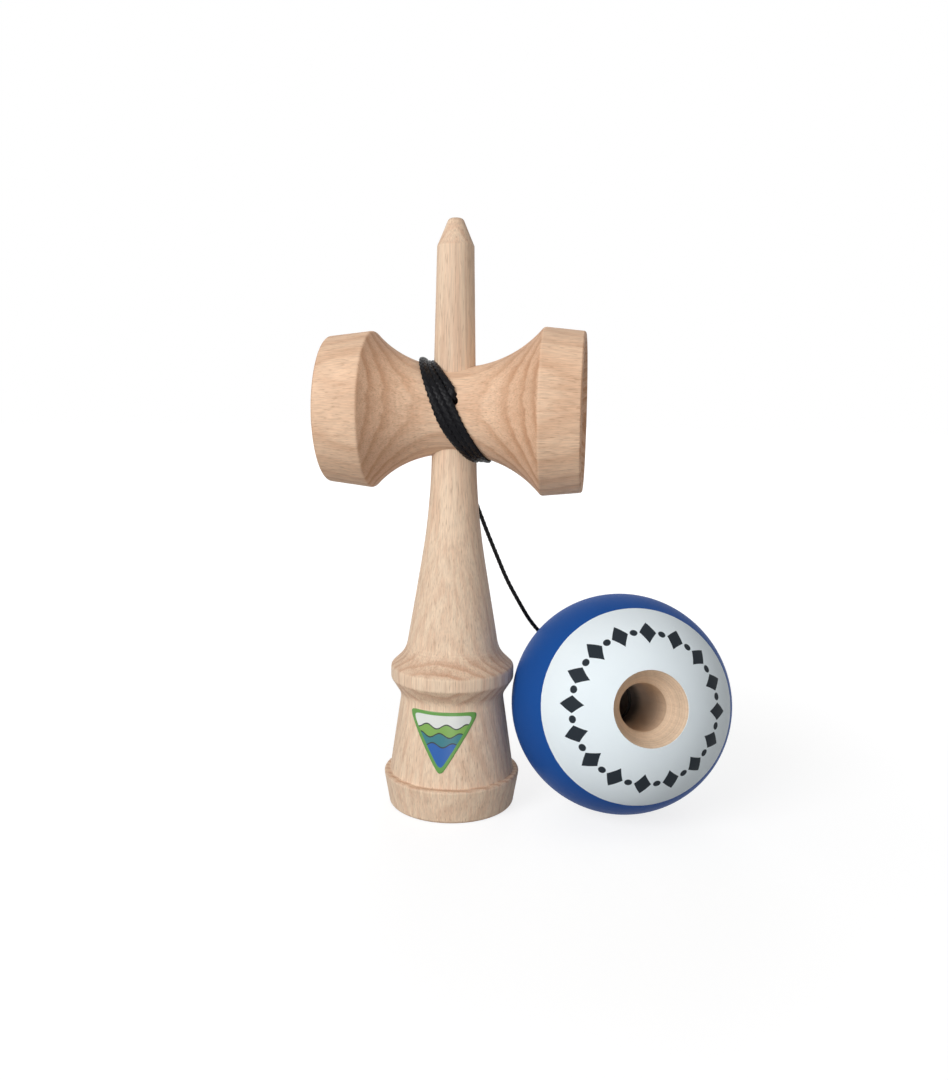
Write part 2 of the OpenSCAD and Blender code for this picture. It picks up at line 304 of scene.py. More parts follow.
@dataclass(frozen=True)
class Beech:
    """Fine-sanded beech: soft growth rings round a far heart, rosy streaks, short pores and fibres.

    Lengths are in millimetres, with the grain along the local Z. A span is where a step starts and ends, or
    the least and the greatest value that a pattern is spread to.
    """

    name: str
    ground: Colour
    ring: Colour
    pore: Colour
    heart: Point
    ring_width: float = 2.1
    ring_share: float = 0.5
    end_ring_share: float = 0.9
    end_tint: Colour = (0.86, 0.8, 0.76)
    end_span: Span = (0.15, 0.65)
    pore_share: float = 0.36
    streak_share: float = 0.45
    fibre_share: float = 0.3
    ring_stretch: Point = (1.0, 1.0, 0.02)
    wobble: NoiseShape = NoiseShape(0.03)
    wobble_reach: float = 3.0
    uneven: NoiseShape = NoiseShape(0.3, 1.0, (1.0, 1.0, 0.1))
    uneven_span: Span = (-0.25, 0.25)
    late_span: Span = (0.25, 0.85)
    close_span: Span = (0.8, 1.0)
    patches: NoiseShape = NoiseShape(0.06, 1.0, (1.0, 1.0, 0.3))
    patch_span: Span = (0.2, 1.6)
    fibres: NoiseShape = NoiseShape(3.4, 3.0, (1.0, 1.0, 0.04))
    streaks: NoiseShape = NoiseShape(0.9, 3.0, (1.0, 1.0, 0.035))
    streak_span: Span = (0.42, 0.7)
    pores: NoiseShape = NoiseShape(3.1, 1.0, (1.0, 1.0, 0.09))
    pore_span: Span = (0.58, 0.74)
    pore_dip: float = 0.6
    tones: NoiseShape = NoiseShape(0.09, 2.0, (1.0, 1.0, 0.25))
    tone_span: Span = (0.88, 1.12)
    roughness: Span = (0.52, 0.72)
    bump_depth: float = 0.06
    gloss: float = 0.3

    def rings(self, graph: Graph, place: Socket, ends: Any) -> Socket:
        """Gives how strongly each place shows the late wood of a growth ring.

        A ring is a step in the distance from the heart's line, wobbled by slow noise. It darkens slowly
        towards its late edge and ends sharply, and it is stronger where the surface cuts across the grain.

        Args:
            graph: the material's tree.
            place: local coordinates in millimetres.
            ends: how far the surface cuts across the grain, from 0 to 1.

        Returns:
            The late wood's share.
        """
        drift = graph.vector("SUBTRACT", graph.noise(place, self.wobble, "Color"), NOISE_MEAN)
        drifted = graph.vector("ADD", place, graph.scaled(drift, self.wobble_reach))
        across = graph.vector("MULTIPLY", graph.vector("SUBTRACT", drifted, self.heart), self.ring_stretch)
        count = graph.math("DIVIDE", graph.vector("LENGTH", across), self.ring_width)
        uneven = graph.spread(graph.noise(place, self.uneven), *self.uneven_span)
        phase = graph.math("FRACT", graph.math("ADD", count, uneven))
        late = graph.math("MULTIPLY", graph.step(phase, *self.late_span), graph.fall(phase, *self.close_span))
        patchy = graph.spread(graph.noise(place, self.patches), *self.patch_span)
        strength = graph.spread(ends, self.ring_share, self.end_ring_share)
        return graph.math("MULTIPLY", graph.math("MULTIPLY", late, patchy), strength)

    def grain(self, graph: Graph, place: Socket, ends: Any) -> Grain:
        """Adds the wood pattern.

        Streaks, pores and fibres are noise that is stretched along the grain, over the growth rings. Where
        the surface cuts across the grain, the wood is darker.

        Args:
            graph: the material's tree.
            place: local coordinates in millimetres.
            ends: how far the surface cuts across the grain, from 0 to 1.

        Returns:
            The pattern's outputs.
        """
        fibre = graph.noise(place, self.fibres)
        streak = graph.step(graph.noise(place, self.streaks), *self.streak_span)
        pore = graph.step(graph.noise(place, self.pores), *self.pore_span)
        tone = graph.noise(place, self.tones)
        colour = graph.mix(self.rings(graph, place, ends), self.ground, self.ring)
        colour = graph.mix(graph.math("MULTIPLY", streak, self.streak_share), colour, self.ring)
        colour = graph.mix(graph.math("MULTIPLY", pore, self.pore_share), colour, self.pore)
        colour = graph.tint(colour, graph.spread(fibre, 1 - self.fibre_share, 1 + self.fibre_share))
        colour = graph.tint(colour, graph.spread(tone, *self.tone_span))
        colour = graph.vector("MULTIPLY", colour, graph.mix(ends, WHITE, self.end_tint))
        height = graph.math("SUBTRACT", fibre, graph.math("MULTIPLY", pore, self.pore_dip))
        return Grain(colour, height, graph.spread(fibre, *self.roughness))

    def material(self, turn: Euler, origin: Vector) -> bpy.types.Material:
        """Makes the material of a bare turning.

        Args:
            turn: the turn that brings the grain to Z.
            origin: the pattern's origin in metres.

        Returns:
            The material.
        """
        graph = Graph(bpy.data.materials.new(self.name))
        along_grain = turn.to_matrix().inverted() @ Vector(UP)
        facing = graph.vector("DOT_PRODUCT", graph.coordinates(Coordinates.NORMAL), along_grain)
        ends = graph.step(graph.math("ABSOLUTE", facing), *self.end_span)
        grain = self.grain(graph, graph.local(turn, origin), ends)
        return graph.finish(
            Base_Color=grain.colour,
            Roughness=grain.roughness,
            Normal=graph.bump(grain.height, self.bump_depth),
            Specular_IOR_Level=self.gloss,
        )


KEN_BEECH = Beech(
    name="ken_beech",
    ground=(0.88, 0.68, 0.5),
    ring=(0.68, 0.43, 0.29),
    pore=(0.42, 0.25, 0.15),
    heart=(2.0, 34.0, 0.0),
    ring_share=0.35,
    end_tint=(0.88, 0.84, 0.82),
)
SARADO_BEECH = Beech(
    name="sarado_beech",
    ground=(0.88, 0.61, 0.42),
    ring=(0.6, 0.32, 0.18),
    pore=(0.42, 0.22, 0.12),
    heart=(5.0, 30.0, 0.0),
    ring_width=2.9,
    ring_share=0.4,
    end_ring_share=0.7,
    streak_share=0.25,
)
BALL_BEECH = Beech(
    name="ball_beech",
    ground=(0.78, 0.6, 0.44),
    ring=(0.6, 0.42, 0.28),
    pore=(0.45, 0.3, 0.2),
    heart=(9.0, 25.0, 0.0),
    ring_share=0.2,
    pore_share=0.15,
    streak_share=0.1,
    fibre_share=0.1,
)
BEAD_BEECH = Beech(
    name="bead_beech",
    ground=(0.5, 0.36, 0.24),
    ring=(0.4, 0.25, 0.15),
    pore=(0.3, 0.18, 0.11),
    heart=(5.0, 9.0, 0.0),
)


@dataclass(frozen=True)
class BallPaint:
    """Satin paint on a ball: a field colour, a pale cap round the spike hole, and a ring of marks on the cap.

    Angles are in degrees from the hole's axis, and lengths in millimetres, along that axis for the hole's
    colours and painted shade.
    """

    bare: Beech = BALL_BEECH
    field: Colour = (0.014, 0.085, 0.34)
    cap: Colour = (0.88, 0.96, 1.0)
    mark: Colour = (0.028, 0.036, 0.045)
    cap_angle: float = 58.0
    mark_angle: float = 39.5
    mark_reach: float = 6.6
    mark_share: float = 0.3
    mark_edge: float = 0.03
    dot_reach: float = 1.9
    marks: int = 16
    edge: float = 0.15
    bare_depth: float = 0.08
    lathe: NoiseShape = NoiseShape(1.9)
    lathe_span: Span = (0.72, 1.28)
    # Painted shade in the hole: deeper in, the bare wood turns greyer and then dark, and a painted shadow
    # makes the ledge at the hole's end darkest.
    deep: Colour = (0.86, 0.73, 0.62)
    dark: Colour = (0.3, 0.26, 0.235)
    deep_start: float = 20.0
    deep_end: float = 2.0
    shade_end: float = -7.0
    ledge: Colour = (0.05, 0.046, 0.043)
    ledge_place: float = -10.8
    ledge_reach: float = 0.3
    peel: NoiseShape = NoiseShape(0.9)
    peel_share: float = 0.2
    cloud: NoiseShape = NoiseShape(0.08)
    cloud_span: Span = (0.95, 1.05)
    wander: NoiseShape = NoiseShape(0.35)
    wander_span: Span = (-0.25, 0.25)
    roughness: Span = (0.4, 0.52)
    bump_depth: float = 0.05
    gloss: float = 0.04

    def marks_on(self, graph: Graph, place: Socket, lean: Socket) -> Socket:
        """Gives where the cap's lozenges and dots are.

        Round the axis the cap is cut into equal cells. In each cell a lozenge is where the shares of its half
        width and half height add up to less than 1, and a dot sits on the cell's edge.

        Args:
            graph: the material's tree.
            place: local coordinates in millimetres.
            lean: the angle from the axis in degrees.

        Returns:
            1 on a mark and 0 off it.
        """
        parts = graph.parts(place)
        cells = graph.math("MULTIPLY", graph.math("ARCTAN2", parts["Y"], parts["X"]), self.marks / math.tau)
        offset = graph.math("SUBTRACT", graph.math("FRACT", graph.math("ADD", cells, self.marks)), 0.5)
        aside = graph.math("ABSOLUTE", offset)
        rise = graph.math("ABSOLUTE", graph.math("SUBTRACT", lean, self.mark_angle))
        width_share = graph.math("DIVIDE", aside, self.mark_share)
        lozenge = graph.math("ADD", width_share, graph.math("DIVIDE", rise, self.mark_reach))
        cell_angle = 360 / self.marks * math.sin(math.radians(self.mark_angle))
        beside = graph.math("MULTIPLY", graph.math("SUBTRACT", 0.5, aside), cell_angle)
        away = graph.vector("LENGTH", graph.joined(beside, rise))
        on_lozenge = graph.fall(lozenge, 1 - self.mark_edge, 1 + self.mark_edge)
        on_dot = graph.fall(away, self.dot_reach - self.edge, self.dot_reach + self.edge)
        return graph.math("MAXIMUM", on_lozenge, on_dot)

    def hole_colour(self, graph: Graph, wood: Socket, aside: Socket, height: Socket) -> Socket:
        """Gives the hole's colour: turned wood at its mouth, with painted shade that greys and darkens it
        inwards, and a painted shadow, darkest, on the ledge at its end.

        Args:
            graph: the material's tree.
            wood: the bare wood's colour.
            aside: the distance from the axis in millimetres.
            height: the place along the axis in millimetres.

        Returns:
            The colour.
        """
        turned = graph.noise(graph.joined(aside, height), self.lathe)
        lathed = graph.tint(wood, graph.spread(turned, *self.lathe_span))
        # Painted shade: greyer and then darker inwards, with a painted shadow on the ledge at the hole's end.
        inward = graph.fall(height, self.deep_end, self.deep_start)
        end = graph.fall(height, self.shade_end, self.deep_end)
        ledge_away = graph.math("ABSOLUTE", graph.math("SUBTRACT", height, self.ledge_place))
        ledge_shadow = graph.fall(ledge_away, self.ledge_reach / 2, self.ledge_reach)
        colour = graph.mix(end, graph.mix(inward, lathed, self.deep), self.dark)
        return graph.mix(ledge_shadow, colour, self.ledge)

    def material(self, turn: Euler, centre: Vector, radius: float) -> bpy.types.Material:
        """Makes the painted ball's material. What lies deeper than the ball's surface is bare wood, with
        painted shade in the hole.

        Args:
            turn: the turn that brings the hole's axis to Z.
            centre: the ball's centre in metres.
            radius: the ball's radius in metres.

        Returns:
            The material.
        """
        graph = Graph(bpy.data.materials.new("painted_ball"))
        place = graph.local(turn, centre)
        height = graph.parts(place)["Z"]
        aside = graph.vector("LENGTH", graph.vector("MULTIPLY", place, (1.0, 1.0, 0.0)))
        lean = graph.math("DEGREES", graph.math("ARCTAN2", aside, height))
        depth = graph.math("SUBTRACT", radius * PER_MM, graph.vector("LENGTH", place))
        wood = self.bare.grain(graph, place, 0.0)
        peel = graph.noise(place, self.peel)
        wander = graph.spread(graph.noise(place, self.wander), *self.wander_span)
        cap_lean = graph.math("ADD", lean, wander)
        off_cap = graph.step(cap_lean, self.cap_angle - self.edge, self.cap_angle + self.edge)
        cap = graph.mix(self.marks_on(graph, place, lean), self.cap, self.mark)
        cloud = graph.spread(graph.noise(place, self.cloud), *self.cloud_span)
        paint = graph.tint(graph.mix(off_cap, cap, self.field), cloud)
        bare = graph.step(depth, self.bare_depth, self.bare_depth * 2)
        relief = graph.mix(bare, graph.scaled(peel, self.peel_share), wood.height)
        return graph.finish(
            Base_Color=graph.mix(bare, paint, self.hole_colour(graph, wood.colour, aside, height)),
            Roughness=graph.mix(bare, graph.spread(peel, *self.roughness), wood.roughness),
            Normal=graph.bump(relief, self.bump_depth),
            Specular_IOR_Level=self.gloss,
        )


@dataclass(frozen=True)
class BraidedNylon:
    """Black braided nylon: dark, with a soft shine that the fine yarns break up."""

    colour: Colour = (0.003, 0.003, 0.0045)
    yarns: NoiseShape = NoiseShape(26.0, 2.0, (1.0, 0.12, 1.0))
    wear: NoiseShape = NoiseShape(3.0)
    wear_span: Span = (0.6, 1.5)
    roughness: Span = (0.2, 0.36)
    bump_depth: float = 0.1
    gloss: float = 0.12

    def material(self) -> bpy.types.Material:
        """Makes the string's material from its UV map, u round the cord and v along it.

        Returns:
            The material.
        """
        graph = Graph(bpy.data.materials.new("braided_nylon"))
        place = graph.coordinates(Coordinates.SURFACE)
        yarn = graph.noise(place, self.yarns)
        worn = graph.spread(graph.noise(place, self.wear), *self.wear_span)
        return graph.finish(
            Base_Color=graph.tint(self.colour, worn),
            Roughness=graph.spread(yarn, *self.roughness),
            Normal=graph.bump(yarn, self.bump_depth),
            Specular_IOR_Level=self.gloss,
        )


@dataclass(frozen=True)
class PickOutline:
    """A triangle with a flat top and soft corners, like a plectrum.

    Its level at a point is the sum of the point's reaches towards the three sides, each raised to a power,
    and the root of that sum: 1 on the outline, with rounder corners for a lower power.
    """

    power: float = 7.0
    sides: tuple[float, ...] = (90.0, 210.0, 330.0)

    def radius(self, angle: Array) -> Array:
        """Gives the outline's distance from the middle at each angle in radians."""
        toward = np.maximum(np.cos(angle[:, None] - np.radians(self.sides)), 0)
        return (toward**self.power).sum(1) ** (-1 / self.power)

    def level(self, graph: Graph, place: Socket) -> Socket:
        """Adds the nodes of the outline's level.

        Args:
            graph: the material's tree.
            place: coordinates with the outline's middle at zero.

        Returns:
            The level at each place.
        """
        total: Any = 0.0
        for side in np.radians(self.sides):
            reach = graph.vector("DOT_PRODUCT", place, (math.cos(side), math.sin(side), 0))
            part = graph.math("POWER", graph.math("MAXIMUM", reach, 0.0), self.power)
            total = graph.math("ADD", total, part)
        return graph.math("POWER", total, 1 / self.power)


@dataclass(frozen=True)
class PrintedPaper:
    """Glossy printed paper: a green border round three waves with dark crests, under a white sky.

    Its lengths are shares of the sticker's half size, and a wave's shift is in radians.
    """

    paper: Colour = (0.78, 0.8, 0.76)
    border: Colour = (0.13, 0.33, 0.07)
    line: Colour = (0.03, 0.035, 0.035)
    waves: tuple[Colour, ...] = ((0.22, 0.42, 0.09), (0.04, 0.2, 0.24), (0.02, 0.12, 0.42))
    wave_tops: tuple[float, ...] = (0.3, -0.1, -0.55)
    wave_rise: float = 0.1
    wave_count: float = 1.1
    wave_shift: float = 2.1
    crest_line: float = 0.06
    ink_edge: float = 0.012
    border_level: float = 0.84
    border_edge: float = 0.01
    fibres: NoiseShape = NoiseShape(30.0)
    fibre_span: Span = (0.93, 1.07)
    roughness: Span = (0.3, 0.42)
    bump_depth: float = 0.01
    gloss: float = 0.4

    def material(self, outline: PickOutline) -> bpy.types.Material:
        """Makes the sticker's material from its UV map, where the sticker's outline is at 1.

        A wave covers what lies under its top, which rises and falls as a sine across the sticker, and a line
        of ink runs along the top.

        Args:
            outline: the sticker's outline.

        Returns:
            The material.
        """
        graph = Graph(bpy.data.materials.new("printed_paper"))
        place = graph.coordinates(Coordinates.SURFACE)
        parts = graph.parts(place)
        colour: Any = self.paper
        for number, (top, wave) in enumerate(zip(self.wave_tops, self.waves)):
            shift = number * self.wave_shift
            turn = graph.math("MULTIPLY_ADD", parts["X"], self.wave_count * math.tau, shift)
            crest = graph.math("MULTIPLY_ADD", graph.math("SINE", turn), self.wave_rise, top)
            under = graph.math("SUBTRACT", crest, parts["Y"])
            inked = graph.step(under, -self.crest_line - self.ink_edge, -self.crest_line)
            colour = graph.mix(inked, colour, self.line)
            colour = graph.mix(graph.step(under, -self.ink_edge, 0.0), colour, wave)
        level = outline.level(graph, place)
        on_border = graph.step(level, self.border_level, self.border_level + self.border_edge)
        colour = graph.mix(on_border, colour, self.border)
        fibre = graph.noise(place, self.fibres)
        return graph.finish(
            Base_Color=graph.tint(colour, graph.spread(fibre, *self.fibre_span)),
            Roughness=graph.spread(fibre, *self.roughness),
            Normal=graph.bump(fibre, self.bump_depth),
            Specular_IOR_Level=self.gloss,
        )


class RingFaces(NamedTuple):
    """Faces between rings of points: their corners, each face's corner count, and each corner's UV."""

    corners: Array
    sizes: Array
    uv: Array


def ring_walls(count: int, sides: int, uv: Array, closed: bool) -> RingFaces:
    """Gives the quads that join each ring to the next.

    Args:
        count: the number of rings.
        sides: the number of points in a ring.
        uv: a UV for each ring and side, with one more side than the points.
        closed: whether the last ring joins the first.

    Returns:
        The quads.
    """
    starts = np.arange(count if closed else count - 1)
    ring, side = np.meshgrid(starts, np.arange(sides), indexing="ij")
    after, beside = (ring + 1) % count, (side + 1) % sides
    here, there = ring * sides, after * sides
    quads = np.stack([here + side, here + beside, there + beside, there + side], -1)
    quad_uv = np.stack([uv[ring, side], uv[ring, side + 1], uv[after, side + 1], uv[after, side]], -2)
    return RingFaces(quads.reshape(-1), np.full(ring.size, 4), quad_uv.reshape(-1, 2))


def ring_caps(count: int, sides: int, uv: Array) -> RingFaces:
    """Gives the fans that close the first and the last ring about their middles.

    The middles are the two points that follow the rings' own.

    Args:
        count: the number of rings.
        sides: the number of points in a ring.
        uv: a UV for each ring and side, with one more side than the points.

    Returns:
        The fans' triangles.
    """
    at = np.arange(sides)
    then = (at + 1) % sides
    last = (count - 1) * sides
    middle = np.full(sides, count * sides)
    first_fan = np.stack([then, at, middle], -1)
    last_fan = np.stack([last + at, last + then, middle + 1], -1)
    first_middle, last_middle = (np.broadcast_to(ring.mean(0), (sides, 2)) for ring in (uv[0], uv[-1]))
    first_uv = np.stack([uv[0, at + 1], uv[0, at], first_middle], 1)
    last_uv = np.stack([uv[-1, at], uv[-1, at + 1], last_middle], 1)
    corners = np.concatenate([first_fan, last_fan]).reshape(-1)
    return RingFaces(corners, np.full(2 * sides, 3), np.concatenate([first_uv, last_uv]).reshape(-1, 2))


def ring_mesh(name: str, rings: Array, uv: Array, closed: bool = False) -> bpy.types.Object:
    """Makes an object from rings of points, each joined to the next by quads.

    The surface is a function of two parameters: the ring's number and the place round the ring, which closes
    on itself. The first and last rings are capped by fans about their middles, unless the rings close too.

    Args:
        name: the object's name.
        rings: points in metres, as rings by sides by 3.
        uv: a UV for each ring and side, with one more side than the points, as rings by sides + 1 by 2.
        closed: whether the last ring joins the first.

    Returns:
        The object, linked to the scene.
    """
    count, sides = rings.shape[:2]
    points = rings.reshape(-1, 3)
    faces = ring_walls(count, sides, uv, closed)
    if not closed:
        points = np.concatenate([points, [rings[0].mean(0), rings[-1].mean(0)]])
        caps = ring_caps(count, sides, uv)
        faces = RingFaces(*(np.concatenate(pair) for pair in zip(faces, caps)))
    loop_starts = np.concatenate([[0], np.cumsum(faces.sizes)[:-1]])
    mesh = bpy.data.meshes.new(name)
    mesh.vertices.add(len(points))
    mesh.vertices.foreach_set("co", points.astype(np.float32).ravel())
    mesh.loops.add(len(faces.corners))
    mesh.loops.foreach_set("vertex_index", faces.corners.astype(np.int32))
    mesh.polygons.add(len(faces.sizes))
    mesh.polygons.foreach_set("loop_start", loop_starts.astype(np.int32))
    mesh.polygons.foreach_set("use_smooth", np.ones(len(faces.sizes), bool))
    mesh.uv_layers.new(name="surface").data.foreach_set("uv", faces.uv.astype(np.float32).ravel())
    mesh.update(calc_edges=True)
    mesh.validate()
    piece = bpy.data.objects.new(name, mesh)
    bpy.context.scene.collection.objects.link(piece)
    return piece


def unit(vectors: Array) -> Array:
    """Gives vectors at length 1, along their last axis."""
    return vectors / np.linalg.norm(vectors, axis=-1, keepdims=True)


def smooth_through(keys: Array, at: Array) -> Array:
    """Gives a smooth curve through evenly numbered keys.

    It is a cubic from key to key, with each key's slope half its neighbours' difference.

    Args:
        keys: the values at 0, 1, 2 and so on, along the first axis.
        at: the numbers to evaluate at.

    Returns:
        The curve's values.
    """
    last = len(keys) - 1
    start = np.clip(np.floor(at).astype(int), 0, last - 1)
    t = (at - start).reshape(-1, *[1] * (keys.ndim - 1))
    a, b, c, d = (keys[np.clip(start + k, 0, last)] for k in (-1, 0, 1, 2))
    return (2 * b + (c - a) * t + (2 * a - 5 * b + 4 * c - d) * t**2 + (3 * b - a - 3 * c + d) * t**3) / 2


def along(path: Array) -> Array:
    """Gives the length of a path up to each of its points."""
    return np.concatenate([[0.0], np.cumsum(np.linalg.norm(np.diff(path, axis=0), axis=1))])


def evenly(path: Array, spacing: float) -> Array:
    """Gives a path again with its points evenly spaced.

    Args:
        path: the path's points.
        spacing: the greatest distance from one point to the next.

    Returns:
        The new points, with the path's own ends.
    """
    reach = along(path)
    at = np.linspace(0, reach[-1], math.ceil(reach[-1] / spacing) + 1)
    return np.stack([np.interp(at, reach, path[:, k]) for k in range(3)], axis=1)


def softened(path: Array, points: int) -> Array:
    """Gives an even path with its corners softened by a weighted moving average, with its ends kept.

    Args:
        path: the path's points.
        points: the average's width, an odd number of points.

    Returns:
        As many points as the path has.
    """
    weights = np.hanning(points + 2)[1:-1]
    padded = np.pad(path, ((points // 2, points // 2), (0, 0)), mode="reflect", reflect_type="odd")
    return np.stack([np.convolve(padded[:, k], weights / weights.sum(), "valid") for k in range(3)], axis=1)


@dataclass(frozen=True)
class Waist:
    """The sarado's waist, where the string is wound, in millimetres along X from its middle."""

    axis_z: float = 109.3
    radius: float = 11.6
    straight: float = 1.0
    small_ridge: tuple[float, float] = (22.0, 21.0)
    big_ridge: tuple[float, float] = (23.9, 22.2)

    def profile(self, x: Array) -> tuple[Array, Array]:
        """Gives the radius and its slope: a straight middle between two hollow arcs that end at the ridges.

        Args:
            x: places along the axis.

        Returns:
            The radius and the slope at each place.
        """
        ridge = np.where(x[:, None] < 0, self.small_ridge, self.big_ridge)
        reach, rise = ridge[:, 0] - self.straight, ridge[:, 1] - self.radius
        arc = (reach**2 + rise**2) / (2 * rise)
        run = np.maximum(np.abs(x) - self.straight, 0)
        deep = np.sqrt(arc**2 - run**2)
        return self.radius + arc - deep, np.sign(x) * run / deep


@dataclass(frozen=True)
class Bore:
    """The tama's spike hole, in millimetres along its axis from the ball's centre."""

    centre: Point
    axis: Point
    radius: float
    lead: float = 3.0
    knot_face: float = -14.2
    knot_height: float = 1.28
    entry_points: int = 6

    @classmethod
    def from_frame(cls) -> "Bore":
        """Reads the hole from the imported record, and the ball's radius from the tama's own box.

        Returns:
            The hole.
        """
        mount = next(m for m in frame["record"]["mounts"] if m["name"] == "tama_hole")
        low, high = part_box(Node.TAMA.value)
        return cls(
            centre=tuple(value * PER_MM for value in mount["pos_m"]),
            axis=tuple(mount["axis"]),
            radius=(high.z - low.z) / 2 * PER_MM,
        )

    def at(self, reach: float) -> Array:
        """Gives a point on the axis."""
        return np.array(self.centre) + reach * np.array(self.axis)

    def knot_place(self) -> float:
        """Gives where the middle of the knot behind the bead is along the axis."""
        return self.knot_face + self.knot_height

    def entry(self) -> Array:
        """Gives the string's points from just outside the back of the ball to its knot."""
        reaches = np.linspace(-self.radius - self.lead, self.knot_place(), self.entry_points)
        return np.stack([self.at(reach) for reach in reaches])


@dataclass(frozen=True)
class CordLine:
    """A cord's line in millimetres: its points, its own cross-ways, and its half width and half thickness."""

    path: Array
    cross: Array
    wide: Array
    thick: Array

    def part(self, first: int, last: int) -> "CordLine":
        """Gives a stretch of the line between two points."""
        return CordLine(*(values[first:last] for values in (self.path, self.cross, self.wide, self.thick)))


@dataclass(frozen=True)
class KendamaString:
    """The string: from a knot in the ken out of the sarado, round its waist, and down to a bead in the tama.

    Lengths are in millimetres. The keys give where each turn lies along X as it passes the front, the top,
    the back and the bottom of the waist, and how far it rides up on other turns there. The last turned_over
    points of the turns give way to the free string's curve.
    """

    waist: Waist = Waist()
    diameter: float = 1.12
    wound_length: float = 308.0
    free_length: float = 125.0
    hole_out: Point = (1.552, -12.112, 112.096)
    anchor_depth: float = 2.26
    bend_points: int = 24
    bend_slide: float = 2.0
    fronts: tuple[float, ...] = (5.0, 1.6, -0.45, -2.45)
    tops: tuple[float, ...] = (-5.6, -6.9, -8.2, -8.5)
    backs: tuple[float, ...] = (2.2, 0.35, -1.5, -3.35)
    bottoms: tuple[float, ...] = (8.9, 7.35, 5.7, 5.7)
    top_lifts: tuple[float, ...] = (0.3, 0.0, 0.05, 0.55)
    bottom_lifts: tuple[float, ...] = (0.0, 0.25, 0.7, 0.7)
    key_angles: tuple[float, ...] = (0.0, 90.0, 180.0, 270.0)
    flat_shares: tuple[float, ...] = (1.0, 0.5, 1.0, 0.95)
    flat_half_width: float = 1.07
    flat_half_thickness: float = 0.52
    bunch_half_width: float = 1.25
    bunch_half_thickness: float = 1.25
    first_quarter: float = 0.42
    last_quarter: float = 13.75
    quarter_step: float = 0.01
    turned_over: int = 80
    turned_over_step: int = 20
    curve_points: int = 40
    soften_points: int = 9
    shape_fade: float = 3.0
    spacing: float = 0.2
    sides: int = 24
    braid_columns: int = 4
    braid_pitch: float = 1.7
    braid_depth: float = 0.075
    surface_length: float = 4.0
    knot_points: int = 180
    knot_scale: float = 0.36
    knot_rise: float = 1.4
    knot_half_share: float = 0.42
    knot_behind: float = 1.2
    finish: BraidedNylon = BraidedNylon()
    route: tuple[Point, ...] = (
        (-3.5, 13, 107.5), (-2.3, 13, 102.5), (-0.8, 13, 97), (1, 13, 91.5), (3.2, 13, 86),
        (5.4, 13, 80.5), (7.6, 13, 75), (10.4, 13.5, 68.2), (13.5, 14, 61), (17.2, 15, 54),
        (20, 16.5, 49), (23, 19.8, 44.5), (26.3, 24.5, 40.5), (29.4, 29.2, 37), (32, 33, 33.4),
        (33.8, 35.6, 30), (34.8, 36.9, 27), (35.5, 37.2, 24.6), (36.2, 36.7, 23), (37.1, 35.5, 22.1),
    )

    def hole_way(self) -> Array:
        """Gives the string hole's direction, level and out from the ken's axis."""
        return unit(np.array(self.hole_out) * (1, 1, 0))

    def anchor(self) -> Array:
        """Gives where the string starts, at its knot inside the ken."""
        return np.array([0, 0, self.hole_out[2]]) - self.anchor_depth * self.hole_way()

    def turns(self) -> CordLine:
        """Gives the wound turns.

        At each quarter turn the string passes a key, from the front over the top. Its angle, its place along
        X and its lift are smooth curves through the keys, and its distance from the axis is the waist's own
        radius there, half its thickness and its lift.

        Returns:
            The turns' line.
        """
        quarter = np.arange(self.first_quarter, self.last_quarter, self.quarter_step)
        places = np.stack([self.fronts, self.tops, self.backs, self.bottoms], 1).reshape(-1)
        none = np.zeros(len(self.fronts))
        lifts = np.stack([none, self.top_lifts, none, self.bottom_lifts], 1).reshape(-1)
        flat = np.tile(self.flat_shares, len(none))
        whole = 360.0 * np.arange(len(none))[:, None]
        angles = np.radians(whole + np.array(self.key_angles)).reshape(-1)
        x, lift, flatness, angle = (smooth_through(keys, quarter) for keys in (places, lifts, flat, angles))
        round_r = self.diameter / 2
        wide = round_r + (self.flat_half_width - round_r) * flatness
        thick = round_r + (self.flat_half_thickness - round_r) * flatness
        radius, slope = self.waist.profile(x)
        out = np.stack([np.zeros_like(x), -np.cos(angle), np.sin(angle)], 1)
        path = (radius + thick + lift)[:, None] * out
        path += np.stack([x, np.zeros_like(x), np.full_like(x, self.waist.axis_z)], 1)
        return CordLine(path, np.array([1.0, 0, 0]) + slope[:, None] * out, wide, thick)

    def bend(self, start: Array) -> Array:
        """Gives the arc that bends the string up, out of its hole and into the first turn.

        In the upright plane through the hole, the arc touches the hole's level line where it begins and the
        turns' circle, from inside, where it ends. So its radius is its climb over one plus the sine of its
        end's angle. It slides aside, more and more, to meet the first turn.

        Args:
            start: the first turn's first point.

        Returns:
            The arc's points.
        """
        way, up = self.hole_way(), np.array(UP)
        reach = start[1] / way[1]
        steep = math.atan2(start[2] - self.waist.axis_z, reach)
        radius = (start[2] - self.hole_out[2]) / (1 + math.sin(steep))
        turn = np.linspace(-math.pi / 2, steep, self.bend_points)[:, None]
        arc = radius * ((np.cos(turn) - math.cos(steep)) * way + (np.sin(turn) - math.sin(steep)) * up)
        arc += reach * way + start[2] * up
        return arc + np.linspace(0, 1, self.bend_points)[:, None] ** self.bend_slide * (start - arc[-1])

